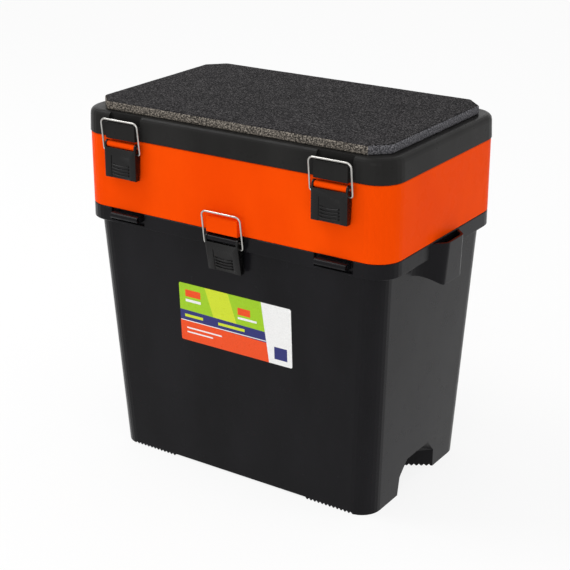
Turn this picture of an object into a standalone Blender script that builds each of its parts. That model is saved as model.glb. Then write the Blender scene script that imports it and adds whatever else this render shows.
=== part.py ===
"""Winter fishing seat box: a tapered tub, a hinged tray, a hinged lid with a pad, three draw latches.

Metres, +Z up. The front, with the latches, faces -Y, and the box stands on z = 0 centred on the origin.
"""
import math

import bmesh
import bpy
from mathutils import Vector

# Heights, from the ground up
RIM_TOP_Z = 0.2889
RIM_HEIGHT = 0.0161
TRAY_HEIGHT = 0.0791
LID_HEIGHT = 0.0256
PAD_THICKNESS = 0.0087

# Outlines seen from above
BOX_LENGTH = 0.3800
BOX_DEPTH = 0.2352
BOX_CORNER = 0.0276
TUB_SET_IN_X = 0.0102
TUB_SET_IN_Y = 0.0044
TUB_TAPER_X = 0.0144
TUB_TAPER_Y = 0.0131
TUB_CORNER = 0.0228
LID_OVERHANG = 0.0008
LID_DRAFT = 0.0008
PAD_MARGIN_X = 0.01135
PAD_MARGIN_Y = 0.0098
PAD_CORNER_CUT = 0.0190

# Walls
TUB_WALL = 0.0026
TUB_FLOOR = 0.0028
TRAY_WALL = 0.0030
TRAY_FLOOR = 0.0025
LID_WALL = 0.0020
LID_TOP = 0.0028
LID_EDGE_RADIUS = 0.0064
EDGE_BREAK = 0.0006

# Clearances
GAP = 0.0003
LIP_CLEARANCE = 0.0005
RIM_LIP_CLEARANCE = 0.0010

# Locating lips under the tray and under the lid
RIM_LIP_HEIGHT = 0.0030
RIM_LIP_WALL = 0.0020
TRAY_LIP_HEIGHT = 0.0030
TRAY_LIP_WALL = 0.0012
LIP_HEADROOM = 0.0010

# Base of the tub
SKIRT_DEPTH = 0.0060
SKIRT_WALL = 0.0030
TOOTH_DEPTH = 0.0022
TOOTH_PITCH = 0.0047
TOOTH_WIDTH = 0.0039
TOOTH_COUNT = 12
TOOTH_RUN_START_IN = 0.0784

# Hand hold under each end of the tub
HOLD_FOOT_HALF = 0.0400
HOLD_SHOULDER_HALF = 0.0370
HOLD_CROWN_HALF = 0.0225
HOLD_SHOULDER = 0.0215
HOLD_HEIGHT = 0.0368
HOLD_DEPTH = 0.0254
HOLD_INNER_SCALE = 0.60
HOLD_TOOTH_COUNT = 4

# Strap loop on each end of the tub: a flat plate whose flanks flare back to the wall
LOOP_TOP_REACH = 0.0127
LOOP_FOOT_REACH = 0.0098
LOOP_TOP_HALF = 0.0170
LOOP_FOOT_HALF = 0.0200
LOOP_HEIGHT = 0.0453
LOOP_WALL = 0.0026
LOOP_FLARE = 0.0390
LOOP_FLARE_POWER = 2.2
LOOP_ROUND = 0.0040
LOOP_ROOT = 0.00025
LOOP_FOOT_SLOPE = 0.76
LOOP_TOP_STEP = 0.0010

# Hollow under the rim at each end
RIM_SKIN = 0.0030
RIM_ROOT = 0.0005
RIM_HOLLOW_END_IN = 0.0296

# Knuckles, on the front for the latches and on the rear for the hinges
KNUCKLE_RADIUS = 0.0034
KNUCKLE_HALF = 0.0182
PIN_DROP = 0.0060
LATCH_PIN_OUT = 0.0048
PIN_RADIUS = 0.0015
PIN_END = 0.0010
LATCH_END_IN = 0.0610
HINGE_END_IN = 0.0850
RECESS_HALF = 0.0225
RECESS_DEPTH = 0.0040
RECESS_LIP = 0.0026

# Latch lever: a channel with two cheeks, hung on the pin
CHEEK_WALL = 0.0020
CHEEK_RADIUS = 0.0042
CHEEK_ARC_START = 160
LEVER_FACE_OUT = 0.0045
LEVER_PLATE = 0.0018
LEVER_TOP_DROP = 0.0029
LEVER_LENGTH = 0.0354
LEVER_BACK_TOP = 0.0039
LEVER_BACK_FOOT = 0.0019
LEVER_PANEL_DEPTH = 0.0006
LEVER_PANEL_HALF = 0.0121
LEVER_PANEL_DROP = 0.0110
GRIP_COUNT = 4
GRIP_PITCH = 0.0034
GRIP_HEIGHT = 0.0013
GRIP_HALF = 0.0113
GRIP_SAG = 0.0012
GRIP_FOOT = 0.0026
CENTER_LEVER_TILT = math.radians(10.5)

# Wire bail, pivoted in the lever's cheeks
WIRE_RADIUS = 0.00125
BAIL_LENGTH = 0.0330
BAIL_HALF_WIDTH = 0.0240
BAIL_PIVOT_DROP = 0.0073
BAIL_PIVOT_OUT = 0.0006
BAIL_TOP_BEND = 0.0055
BAIL_FOOT_BEND = 0.0026
BAIL_END_PAST_CHEEK = 0.0007

# Keeper: the hook that the bail closes over
KEEPER_OUT = 0.0076
KEEPER_HALF = 0.0193
KEEPER_LIP = 0.0026
KEEPER_CHANNEL = 0.0045
KEEPER_UNDER_WIRE = 0.0015
KEEPER_EDGE = 0.0007
NOTCH_SIDE = 0.0015
NOTCH_DEPTH = 0.0052
NOTCH_WALL = 0.0024

# Hinge lugs on the rear of the lid and the tray
LUG_WALL = 0.0040
LUG_RADIUS = 0.0044
LUG_RISE = 0.0120
LUG_ROOT = 0.0005
LUG_TOP_OUT = 0.0035

# Ribs under the lid
RIB_WALL = 0.0018
RIB_DEPTH = 0.0100
RIB_ROOT = 0.0003
CROSS_RIB_COUNT = 4

# Facets
CORNER_STEPS = 8
EDGE_STEPS = 4
GRIP_STEPS = 6
ROUND_SIDES = 20
WIRE_RESOLUTION = 2

# Heights and places worked out from the sizes above
RIM_BOTTOM_Z = RIM_TOP_Z - RIM_HEIGHT
TRAY_BOTTOM_Z = RIM_TOP_Z + GAP
TRAY_TOP_Z = TRAY_BOTTOM_Z + TRAY_HEIGHT
LID_BOTTOM_Z = TRAY_TOP_Z + GAP
LID_TOP_Z = LID_BOTTOM_Z + LID_HEIGHT
PAD_BOTTOM_Z = LID_TOP_Z + GAP
HALF_LENGTH = BOX_LENGTH / 2
HALF_DEPTH = BOX_DEPTH / 2
BASE_HALF_LENGTH = HALF_LENGTH - TUB_SET_IN_X - TUB_TAPER_X
BASE_HALF_DEPTH = HALF_DEPTH - TUB_SET_IN_Y - TUB_TAPER_Y
TOOTH_RUN_START = BASE_HALF_LENGTH - TOOTH_RUN_START_IN
LATCH_X = HALF_LENGTH - LATCH_END_IN
HINGE_X = HALF_LENGTH - HINGE_END_IN
LONG_RIB_Y = BOX_DEPTH / 6
CROSS_RIB_PITCH = BOX_LENGTH / (CROSS_RIB_COUNT + 1)
WIRE_OUT = KEEPER_OUT + GAP + WIRE_RADIUS
REACH = WIRE_OUT + WIRE_RADIUS
HINGE_OUT = REACH - LUG_RADIUS
HOLE_RADIUS = PIN_RADIUS + GAP
CHEEK_INNER = KNUCKLE_HALF + GAP
CHEEK_OUTER = CHEEK_INNER + CHEEK_WALL
PIN_HALF = CHEEK_OUTER + PIN_END

MATERIALS = {
    "black_plastic": ((0.018, 0.018, 0.019), 0.30, 0.0),
    "orange_plastic": ((0.92, 0.13, 0.01), 0.35, 0.0),
    "grey_foam": ((0.045, 0.045, 0.048), 0.95, 0.0),
    "steel_wire": ((0.70, 0.69, 0.67), 0.22, 1.0),
}


def clear_scene():
    """Remove what the scene holds before the model is built."""
    for item in list(bpy.data.objects):
        bpy.data.objects.remove(item, do_unlink=True)


def make_material(owner, finish):
    """Give an object its own Principled material."""
    colour, roughness, metallic = MATERIALS[finish]
    material = bpy.data.materials.new(owner.name + "_" + finish)
    material.use_nodes = True
    shader = material.node_tree.nodes["Principled BSDF"]
    shader.inputs["Base Color"].default_value = (*colour, 1.0)
    shader.inputs["Roughness"].default_value = roughness
    shader.inputs["Metallic"].default_value = metallic
    material.diffuse_color = (*colour, 1.0)
    owner.data.materials.clear()
    owner.data.materials.append(material)


def mesh_object(name, mesh_data):
    """Turn a bmesh into an object with outward faces."""
    bmesh.ops.recalc_face_normals(mesh_data, faces=mesh_data.faces)
    mesh = bpy.data.meshes.new(name)
    mesh_data.to_mesh(mesh)
    mesh_data.free()
    body = bpy.data.objects.new(name, mesh)
    bpy.context.collection.objects.link(body)
    return body


def tool(name, mesh_data):
    """Turn a bmesh into a hidden operand for a Boolean."""
    operand = mesh_object(name, mesh_data)
    operand.hide_render = True
    operand.display_type = "WIRE"
    return operand


def combine(body, operand, operation):
    """Add one exact Boolean to a body."""
    step = body.modifiers.new(operation.lower() + "_" + operand.name, "BOOLEAN")
    step.operation = operation
    step.solver = "EXACT"
    step.object = operand


def cut(body, *operands):
    for operand in operands:
        combine(body, operand, "DIFFERENCE")


def add(body, *operands):
    for operand in operands:
        combine(body, operand, "UNION")


def finish_body(body, finish):
    """Give a finished solid its material and smooth round faces."""
    make_material(body, finish)
    body.data.shade_smooth()
    body.data.set_sharp_from_angle(angle=math.radians(28))
    return body


def arc(center, radius, start, end, steps):
    """Points on an arc, angles in degrees, both ends included."""
    points = []
    for step in range(steps + 1):
        angle = math.radians(start + (end - start) * step / steps)
        points.append((center[0] + radius * math.cos(angle), center[1] + radius * math.sin(angle)))
    return points


def rounded_rectangle(half_x, half_y, radius):
    """Outline of a rectangle with round corners, counter-clockwise from above."""
    outline = []
    for quarter, (sign_x, sign_y) in enumerate(((1, 1), (-1, 1), (-1, -1), (1, -1))):
        center = (sign_x * (half_x - radius), sign_y * (half_y - radius))
        outline += arc(center, radius, 90 * quarter, 90 * quarter + 90, CORNER_STEPS)
    return outline


def bridge_rings(mesh_data, rings):
    """Skin a row of rings that have equal counts, and close both ends."""
    count = len(rings[0])
    for lower, upper in zip(rings, rings[1:]):
        for index in range(count):
            after = (index + 1) % count
            mesh_data.faces.new((lower[index], lower[after], upper[after], upper[index]))
    mesh_data.faces.new(list(reversed(rings[0])))
    mesh_data.faces.new(rings[-1])


def loft(sections):
    """Solid through rounded rectangles given as (half_x, half_y, radius, z)."""
    mesh_data = bmesh.new()
    rings = []
    for half_x, half_y, radius, height in sections:
        outline = rounded_rectangle(half_x, half_y, radius)
        rings.append([mesh_data.verts.new((x, y, height)) for x, y in outline])
    bridge_rings(mesh_data, rings)
    return mesh_data


def extrude_outline(mesh_data, outline, axis, low, high):
    """Add a prism: an outline in the two other axes, extruded along the named one."""
    place = {
        "X": lambda u, v, w: (w, u, v),
        "Y": lambda u, v, w: (u, w, v),
        "Z": lambda u, v, w: (u, v, w),
    }[axis]
    rings = []
    for level in (low, high):
        rings.append([mesh_data.verts.new(place(u, v, level)) for u, v in outline])
    bridge_rings(mesh_data, rings)


def prism(outline, axis, low, high):
    mesh_data = bmesh.new()
    extrude_outline(mesh_data, outline, axis, low, high)
    return mesh_data


def add_block(mesh_data, low, high):
    """Add a box between two corners."""
    outline = [(low[0], low[1]), (high[0], low[1]), (high[0], high[1]), (low[0], high[1])]
    extrude_outline(mesh_data, outline, "Z", low[2], high[2])


def block(low, high):
    mesh_data = bmesh.new()
    add_block(mesh_data, low, high)
    return mesh_data


def circle(center, radius, sides=ROUND_SIDES):
    return arc(center, radius, 0, 360 - 360 / sides, sides - 1)


def rod(name, half_length, radius, place, finish):
    """Round steel rod along X."""
    body = mesh_object(name, prism(circle((0, 0), radius), "X", -half_length, half_length))
    body.location = place
    return finish_body(body, finish)


def tub_half_x(height):
    """Half length of the tub's tapered outer wall at a height."""
    return BASE_HALF_LENGTH + TUB_TAPER_X * height / RIM_BOTTOM_Z


def tub_half_y(height):
    """Half depth of the tub's tapered outer wall at a height."""
    return BASE_HALF_DEPTH + TUB_TAPER_Y * height / RIM_BOTTOM_Z


def tub_section(height, inset=0.0):
    return (tub_half_x(height) - inset, tub_half_y(height) - inset, TUB_CORNER - inset, height)


def box_section(height, inset=0.0):
    return (HALF_LENGTH - inset, HALF_DEPTH - inset, BOX_CORNER - inset, height)


def lid_section(height, inset=0.0):
    """Lid outline, which overhangs the tray a little at its lower edge."""
    inset -= LID_OVERHANG
    return (HALF_LENGTH - inset, HALF_DEPTH - inset, BOX_CORNER - inset, height)


def knuckle_outline(side, pin_out, parting_z, root):
    """Barrel and its web, in Y and Z. side is -1 on the front and 1 on the rear."""
    axis_y = HALF_DEPTH + pin_out
    axis_z = parting_z - PIN_DROP
    half = [(HALF_DEPTH - root, axis_z - KNUCKLE_RADIUS)]
    half += arc((axis_y, axis_z), KNUCKLE_RADIUS, -90, 90, ROUND_SIDES // 2)
    half += [(HALF_DEPTH - root, axis_z + KNUCKLE_RADIUS)]
    return [(side * y, z) for y, z in half]


def knuckles(name, side, pin_out, parting_z, root, places):
    """Row of knuckles on one face, as one operand."""
    mesh_data = bmesh.new()
    outline = knuckle_outline(side, pin_out, parting_z, root)
    for place in places:
        extrude_outline(mesh_data, outline, "X", place - KNUCKLE_HALF, place + KNUCKLE_HALF)
    return tool(name, mesh_data)


def pin_holes(name, side, pin_out, parting_z, places):
    """Holes for the pins of one row of knuckles."""
    mesh_data = bmesh.new()
    center = (side * (HALF_DEPTH + pin_out), parting_z - PIN_DROP)
    reach = CHEEK_OUTER + LUG_WALL
    for place in places:
        extrude_outline(mesh_data, circle(center, HOLE_RADIUS), "X", place - reach, place + reach)
    return tool(name, mesh_data)


def hinge_lugs(name, parting_z):
    """Pairs of rear lugs that reach down past a joint line to the hinge pins."""
    axis = (HALF_DEPTH + HINGE_OUT, parting_z - PIN_DROP)
    root_y = HALF_DEPTH - LUG_ROOT
    foot_z = parting_z + GAP + EDGE_BREAK
    outline = [(root_y, parting_z + LUG_RISE), (root_y, foot_z), (axis[0] - LUG_RADIUS, foot_z)]
    outline += arc(axis, LUG_RADIUS, 180, 360, ROUND_SIDES // 2)
    outline += [(HALF_DEPTH + LUG_TOP_OUT, parting_z + LUG_RISE)]
    mesh_data = bmesh.new()
    for place in (-HINGE_X, HINGE_X):
        for side in (-1, 1):
            ends = sorted((place + side * CHEEK_INNER, place + side * (CHEEK_INNER + LUG_WALL)))
            extrude_outline(mesh_data, outline, "X", ends[0], ends[1])
    return tool(name, mesh_data)


def lever_tilt(place):
    """The middle lever leans in under the rim; the others hang plumb."""
    return CENTER_LEVER_TILT if place == 0 else 0.0


def bail_pivot(place, parting_z):
    """World Y and Z of a bail's pivot, from the lever's pin and lean."""
    tilt = lever_tilt(place)
    out = BAIL_PIVOT_OUT * math.cos(tilt) - BAIL_PIVOT_DROP * math.sin(tilt)
    drop = BAIL_PIVOT_DROP * math.cos(tilt) + BAIL_PIVOT_OUT * math.sin(tilt)
    return -(HALF_DEPTH + LATCH_PIN_OUT + out), parting_z - PIN_DROP - drop


def bail_lean(place, parting_z):
    """Angle from plumb that puts the bail's bar in front of the keeper."""
    pivot_y, pivot_z = bail_pivot(place, parting_z)
    return math.asin((HALF_DEPTH + WIRE_OUT + pivot_y) / BAIL_LENGTH)


def keeper_top(place, parting_z):
    """Height of a keeper's hook, just under the bail's bar."""
    pivot_y, pivot_z = bail_pivot(place, parting_z)
    return pivot_z + BAIL_LENGTH * math.cos(bail_lean(place, parting_z)) - KEEPER_UNDER_WIRE


def keepers(name, base_z, parting_z, root, places):
    """Keeper blocks with broken front edges, as one operand."""
    mesh_data = bmesh.new()
    face_y = -(HALF_DEPTH + KEEPER_OUT)
    root_y = -(HALF_DEPTH - root)
    for place in places:
        top = keeper_top(place, parting_z)
        outline = [
            (root_y, base_z),
            (root_y, top),
            (face_y + KEEPER_EDGE, top),
            (face_y, top - KEEPER_EDGE),
            (face_y, base_z + KEEPER_EDGE),
            (face_y + KEEPER_EDGE, base_z),
        ]
        extrude_outline(mesh_data, outline, "X", place - KEEPER_HALF, place + KEEPER_HALF)
    return tool(name, mesh_data)


def keeper_channels(name, parting_z, back_out, half_width, top_z, places):
    """Space behind each keeper's lip, open above."""
    mesh_data = bmesh.new()
    for place in places:
        floor_z = keeper_top(place, parting_z) - KEEPER_CHANNEL
        low = (place - half_width, -(HALF_DEPTH + KEEPER_OUT - KEEPER_LIP), floor_z)
        high = (place + half_width, -(HALF_DEPTH + back_out), top_z)
        add_block(mesh_data, low, high)
    return tool(name, mesh_data)


def hold_profile(share, grow):
    """Arch of the hand hold in Y and Z, scaled towards its inner end."""
    top = HOLD_HEIGHT * (1 + share) / 2
    half = [
        (HOLD_FOOT_HALF * share + grow, -TOOTH_DEPTH - grow),
        (HOLD_SHOULDER_HALF * share + grow, HOLD_SHOULDER * top / HOLD_HEIGHT),
        (HOLD_CROWN_HALF * share + grow, top + grow),
    ]
    return half + [(-y, z) for y, z in reversed(half)]


def hand_holds(name, grow):
    """Tapered pockets in both ends of the base, grown by a wall where asked."""
    mesh_data = bmesh.new()
    inner_x = BASE_HALF_LENGTH - HOLD_DEPTH
    past_x = BASE_HALF_LENGTH + SKIRT_DEPTH
    past_share = 1 + (1 - HOLD_INNER_SCALE) * SKIRT_DEPTH / HOLD_DEPTH
    for side in (-1, 1):
        rings = []
        for x, share in ((inner_x - grow, HOLD_INNER_SCALE), (past_x, past_share)):
            profile = hold_profile(share, grow)
            rings.append([mesh_data.verts.new((side * x, y, z)) for y, z in profile])
        bridge_rings(mesh_data, rings)
    return tool(name, mesh_data)


def tooth_gaps(name):
    """V-shaped gaps beside the teeth on the lower edges of the skirt and of the hand holds."""
    mesh_data = bmesh.new()
    below = -TOOTH_DEPTH / 2
    spread = TOOTH_WIDTH / 2 * (1 - below / TOOTH_DEPTH)
    hold_depth = HOLD_FOOT_HALF + SKIRT_WALL
    for side in (-1, 1):
        for index in range(TOOTH_COUNT + 1 + HOLD_TOOTH_COUNT):
            x = side * (TOOTH_RUN_START + index * TOOTH_PITCH)
            reach = HALF_DEPTH if index <= TOOTH_COUNT else hold_depth
            outline = [(x - spread, below), (x + spread, below), (x, TOOTH_DEPTH)]
            extrude_outline(mesh_data, outline, "Y", -reach, reach)
    return tool(name, mesh_data)


def loop_depth():
    """Depth of a strap loop, from its plate to just inside the tub's wall."""
    return LOOP_TOP_REACH + HALF_LENGTH - tub_half_x(RIM_TOP_Z) + LOOP_ROOT


def loop_face(reach, half):
    """Half of a strap loop's outer face in plan: plate, round edge, then the flare to the wall."""
    plate_x = HALF_LENGTH + reach
    depth = loop_depth()

    def flare(share):
        back = depth * (1 - (1 - share) ** LOOP_FLARE_POWER)
        return Vector((plate_x - back, half + LOOP_FLARE * share))

    first = LOOP_ROUND / LOOP_FLARE
    start = Vector((plate_x, half - LOOP_ROUND))
    corner = Vector((plate_x, half))
    points = []
    for step in range(EDGE_STEPS):
        share = step / EDGE_STEPS
        points.append(start.lerp(corner, share).lerp(corner.lerp(flare(first), share), share))
    for step in range(CORNER_STEPS + 1):
        points.append(flare(first + (1 - first) * step / CORNER_STEPS))
    return points


def inset_path(points, distance):
    """Path that runs beside another, on its left, at a distance."""
    moved = []
    for index, point in enumerate(points):
        before = points[max(index - 1, 0)]
        after = points[min(index + 1, len(points) - 1)]
        along = (after - before).normalized()
        moved.append(point + distance * Vector((-along.y, along.x)))
    return moved


def loop_outline(reach, half):
    """Closed plan of a strap loop: outer face one way, inner face back."""
    outer = loop_face(reach, half)
    inner = inset_path(outer, LOOP_WALL)
    outline = [(x, -y) for x, y in reversed(outer)] + [(x, y) for x, y in outer]
    return outline + [(x, y) for x, y in reversed(inner)] + [(x, -y) for x, y in inner]


def strap_loops(name):
    """Strap loops on both ends: open above and below, with a foot that rises to the wall."""
    top_z = RIM_TOP_Z - LOOP_TOP_STEP
    foot_z = top_z - LOOP_HEIGHT
    below_z = foot_z - LOOP_WALL
    foot_x = HALF_LENGTH + LOOP_FOOT_REACH
    past_x = HALF_LENGTH + LOOP_TOP_REACH + LOOP_WALL
    root_x = foot_x - loop_depth() - 2 * LOOP_WALL
    mesh_data = bmesh.new()
    wedges = bmesh.new()
    for side in (-1, 1):
        rings = []
        for z, reach, half in (
            (below_z, LOOP_FOOT_REACH, LOOP_FOOT_HALF),
            (top_z, LOOP_TOP_REACH, LOOP_TOP_HALF),
        ):
            outline = loop_outline(reach, half)
            rings.append([mesh_data.verts.new((side * x, y, z)) for x, y in outline])
        bridge_rings(mesh_data, rings)
        wedge = [
            (side * past_x, below_z - LOOP_WALL),
            (side * past_x, foot_z - LOOP_FOOT_SLOPE * (past_x - foot_x)),
            (side * root_x, foot_z + LOOP_FOOT_SLOPE * (foot_x - root_x)),
            (side * root_x, below_z - LOOP_WALL),
        ]
        reach_y = LOOP_FOOT_HALF + LOOP_FLARE + LOOP_WALL
        extrude_outline(wedges, wedge, "Y", -reach_y, reach_y)
    loops = tool(name, mesh_data)
    cut(loops, tool(name + "_foot_cut", wedges))
    return loops


def rim_hollows(name):
    """Hollow side of the rim at each end, between the wall and the outer skin."""
    low_z = RIM_BOTTOM_Z - RIM_SKIN
    high_z = RIM_TOP_Z - RIM_SKIN
    reach_y = HALF_DEPTH - RIM_HOLLOW_END_IN
    mesh_data = bmesh.new()
    for side in (-1, 1):
        outline = [
            (side * (tub_half_x(low_z) + RIM_ROOT), low_z),
            (side * (HALF_LENGTH - RIM_SKIN), low_z),
            (side * (HALF_LENGTH - RIM_SKIN), high_z),
            (side * (tub_half_x(high_z) + RIM_ROOT), high_z),
        ]
        extrude_outline(mesh_data, outline, "Y", -reach_y, reach_y)
    return tool(name, mesh_data)


def rim_recesses(name):
    """Pockets in the rim's front round the knuckles; the middle one is open below."""
    mesh_data = bmesh.new()
    for place in (-LATCH_X, 0, LATCH_X):
        floor_z = RIM_BOTTOM_Z - EDGE_BREAK if place == 0 else RIM_BOTTOM_Z + RECESS_LIP
        low = (place - RECESS_HALF, -(HALF_DEPTH + RECESS_DEPTH), floor_z)
        high = (place + RECESS_HALF, -(HALF_DEPTH - RECESS_DEPTH), RIM_TOP_Z + RIM_LIP_HEIGHT)
        add_block(mesh_data, low, high)
    return tool(name, mesh_data)


def build_tub():
    """Lower tub with rim, strap loops, knuckles, hand holds and toothed skirt."""
    mouth_x = tub_half_x(RIM_TOP_Z) - TUB_WALL
    mouth_y = tub_half_y(RIM_TOP_Z) - TUB_WALL
    mouth_corner = TUB_CORNER - TUB_WALL
    lip_top_z = RIM_TOP_Z + RIM_LIP_HEIGHT
    lip = (mouth_x + RIM_LIP_WALL, mouth_y + RIM_LIP_WALL, mouth_corner + RIM_LIP_WALL)
    tub = mesh_object("lower_tub", loft([
        tub_section(0.0),
        tub_section(RIM_BOTTOM_Z),
        box_section(RIM_BOTTOM_Z, EDGE_BREAK),
        box_section(RIM_BOTTOM_Z + EDGE_BREAK),
        box_section(RIM_TOP_Z - EDGE_BREAK),
        box_section(RIM_TOP_Z, EDGE_BREAK),
        (*lip, RIM_TOP_Z),
        (*lip, lip_top_z),
    ]))
    floor_z = SKIRT_DEPTH + TUB_FLOOR
    cavity = tool("tub_cavity", loft([
        tub_section(floor_z, TUB_WALL),
        (mouth_x, mouth_y, mouth_corner, RIM_TOP_Z),
        (mouth_x, mouth_y, mouth_corner, lip_top_z + RIM_LIP_HEIGHT),
    ]))
    underside = tool("tub_underside", loft([
        tub_section(-SKIRT_DEPTH, SKIRT_WALL),
        tub_section(SKIRT_DEPTH, SKIRT_WALL),
    ]))
    hold_shell = hand_holds("hold_shell", TUB_WALL)
    cut(cavity, hold_shell)
    cut(underside, hold_shell)
    base_arch = tool("base_arch", block(
        (-TOOTH_RUN_START, -HALF_DEPTH, -TOOTH_DEPTH),
        (TOOTH_RUN_START, HALF_DEPTH, TOOTH_DEPTH),
    ))
    root = HALF_DEPTH - mouth_y + TUB_WALL
    front = (-LATCH_X, 0, LATCH_X)
    rear = (-HINGE_X, HINGE_X)
    cut(tub, rim_recesses("rim_recesses"), rim_hollows("rim_hollows"))
    add(tub, strap_loops("strap_loops"))
    add(tub, knuckles("tub_front_knuckles", -1, LATCH_PIN_OUT, RIM_TOP_Z, root, front))
    add(tub, knuckles("tub_rear_knuckles", 1, HINGE_OUT, RIM_TOP_Z, root, rear))
    cut(tub, cavity, underside, hand_holds("hand_holds", 0.0), base_arch, tooth_gaps("tooth_gaps"))
    cut(tub, pin_holes("tub_front_holes", -1, LATCH_PIN_OUT, RIM_TOP_Z, front))
    cut(tub, pin_holes("tub_rear_holes", 1, HINGE_OUT, RIM_TOP_Z, rear))
    return finish_body(tub, "black_plastic")


def build_tray():
    """Middle tray with its floor, the keeper below, and knuckles for the lid and its latches."""
    lip_inset = LID_WALL - LID_OVERHANG + LIP_CLEARANCE
    tray = mesh_object("middle_tray", loft([
        box_section(TRAY_BOTTOM_Z, EDGE_BREAK),
        box_section(TRAY_BOTTOM_Z + EDGE_BREAK),
        box_section(TRAY_TOP_Z - EDGE_BREAK),
        box_section(TRAY_TOP_Z, EDGE_BREAK),
        box_section(TRAY_TOP_Z, lip_inset),
        box_section(TRAY_TOP_Z + TRAY_LIP_HEIGHT, lip_inset),
    ]))
    under_z = RIM_TOP_Z + RIM_LIP_HEIGHT + LIP_HEADROOM
    lip_inner = lip_inset + TRAY_LIP_WALL
    cavity = tool("tray_cavity", loft([
        box_section(under_z + TRAY_FLOOR, TRAY_WALL),
        box_section(TRAY_TOP_Z - TRAY_LIP_HEIGHT, TRAY_WALL),
        box_section(TRAY_TOP_Z, lip_inner),
        box_section(TRAY_TOP_Z + 2 * TRAY_LIP_HEIGHT, lip_inner),
    ]))
    underside = tool("tray_underside", loft([
        box_section(TRAY_BOTTOM_Z - RIM_LIP_HEIGHT, TRAY_WALL),
        box_section(under_z, TRAY_WALL),
    ]))
    front = (-LATCH_X, LATCH_X)
    rear = (-HINGE_X, HINGE_X)
    add(tray, keepers("tray_keeper", TRAY_BOTTOM_Z, RIM_TOP_Z, TRAY_WALL / 2, (0,)))
    channel_top = keeper_top(0, RIM_TOP_Z) + KEEPER_CHANNEL
    cut(tray, keeper_channels("tray_channel", RIM_TOP_Z, 0.0, KEEPER_HALF + NOTCH_SIDE, channel_top, (0,)))
    add(tray, knuckles("tray_front_knuckles", -1, LATCH_PIN_OUT, TRAY_TOP_Z, TRAY_WALL / 2, front))
    add(tray, knuckles("tray_rear_knuckles", 1, HINGE_OUT, TRAY_TOP_Z, TRAY_WALL / 2, rear))
    add(tray, hinge_lugs("tray_lugs", RIM_TOP_Z))
    cut(tray, cavity, underside)
    cut(tray, pin_holes("tray_front_holes", -1, LATCH_PIN_OUT, TRAY_TOP_Z, front))
    cut(tray, pin_holes("tray_rear_holes", 1, HINGE_OUT, TRAY_TOP_Z, rear))
    cut(tray, pin_holes("tray_lug_holes", 1, HINGE_OUT, RIM_TOP_Z, rear))
    return finish_body(tray, "orange_plastic")


def lid_ribs(name, along_x):
    """Stiffening ribs under the lid in one direction."""
    low_z = LID_TOP_Z - LID_TOP - RIB_DEPTH
    high_z = LID_TOP_Z - LID_TOP + RIB_ROOT
    inset = LID_WALL + LID_DRAFT / 2
    half_x, half_y = lid_section(low_z, inset)[:2]
    mesh_data = bmesh.new()
    if along_x:
        for y in (-LONG_RIB_Y, LONG_RIB_Y):
            add_block(mesh_data, (-half_x, y - RIB_WALL / 2, low_z), (half_x, y + RIB_WALL / 2, high_z))
    else:
        for index in range(CROSS_RIB_COUNT):
            x = (index - (CROSS_RIB_COUNT - 1) / 2) * CROSS_RIB_PITCH
            add_block(mesh_data, (x - RIB_WALL / 2, -half_y, low_z), (x + RIB_WALL / 2, half_y, high_z))
    return tool(name, mesh_data)


def lid_edge_sections():
    """Sections of the lid's rounded upper edge, from the wall to the flat top."""
    sections = []
    for step in range(EDGE_STEPS + 1):
        angle = math.radians(90 * step / EDGE_STEPS)
        inset = LID_DRAFT + LID_EDGE_RADIUS * (1 - math.cos(angle))
        height = LID_TOP_Z - LID_EDGE_RADIUS * (1 - math.sin(angle))
        sections.append(lid_section(height, inset))
    return sections


def build_lid():
    """Lid shell with a rounded edge, keepers in notches, lugs and ribs."""
    lid = mesh_object("lid", loft([
        lid_section(LID_BOTTOM_Z, EDGE_BREAK),
        lid_section(LID_BOTTOM_Z + EDGE_BREAK),
        *lid_edge_sections(),
    ]))
    inner_edge = LID_EDGE_RADIUS - LID_WALL
    cavity = tool("lid_cavity", loft([
        lid_section(LID_BOTTOM_Z - LID_WALL, LID_WALL),
        lid_section(LID_TOP_Z - LID_TOP - inner_edge, LID_WALL + LID_DRAFT),
        lid_section(LID_TOP_Z - LID_TOP, LID_WALL + LID_DRAFT + inner_edge),
    ]))
    front = (-LATCH_X, LATCH_X)
    notch_half = KEEPER_HALF + NOTCH_SIDE
    backing = bmesh.new()
    for place in front:
        side = notch_half + NOTCH_WALL
        floor_z = keeper_top(place, TRAY_TOP_Z) - KEEPER_CHANNEL - NOTCH_WALL
        back_y = -(HALF_DEPTH + LID_OVERHANG - NOTCH_DEPTH - NOTCH_WALL)
        low = (place - side, -(HALF_DEPTH + LID_OVERHANG), floor_z)
        add_block(backing, low, (place + side, back_y, LID_TOP_Z))
    cut(cavity, tool("notch_backing", backing))
    add(lid, keepers("lid_keepers", LID_BOTTOM_Z, TRAY_TOP_Z, LID_WALL, front))
    add(lid, hinge_lugs("lid_lugs", TRAY_TOP_Z))
    notch_back = LID_OVERHANG - NOTCH_DEPTH
    notch_top = LID_TOP_Z + LID_WALL
    cut(lid, cavity)
    add(lid, lid_ribs("long_ribs", True), lid_ribs("cross_ribs", False))
    cut(lid, keeper_channels("lid_notches", TRAY_TOP_Z, notch_back, notch_half, notch_top, front))
    cut(lid, pin_holes("lid_lug_holes", 1, HINGE_OUT, TRAY_TOP_Z, (-HINGE_X, HINGE_X)))
    return finish_body(lid, "black_plastic")


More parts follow.
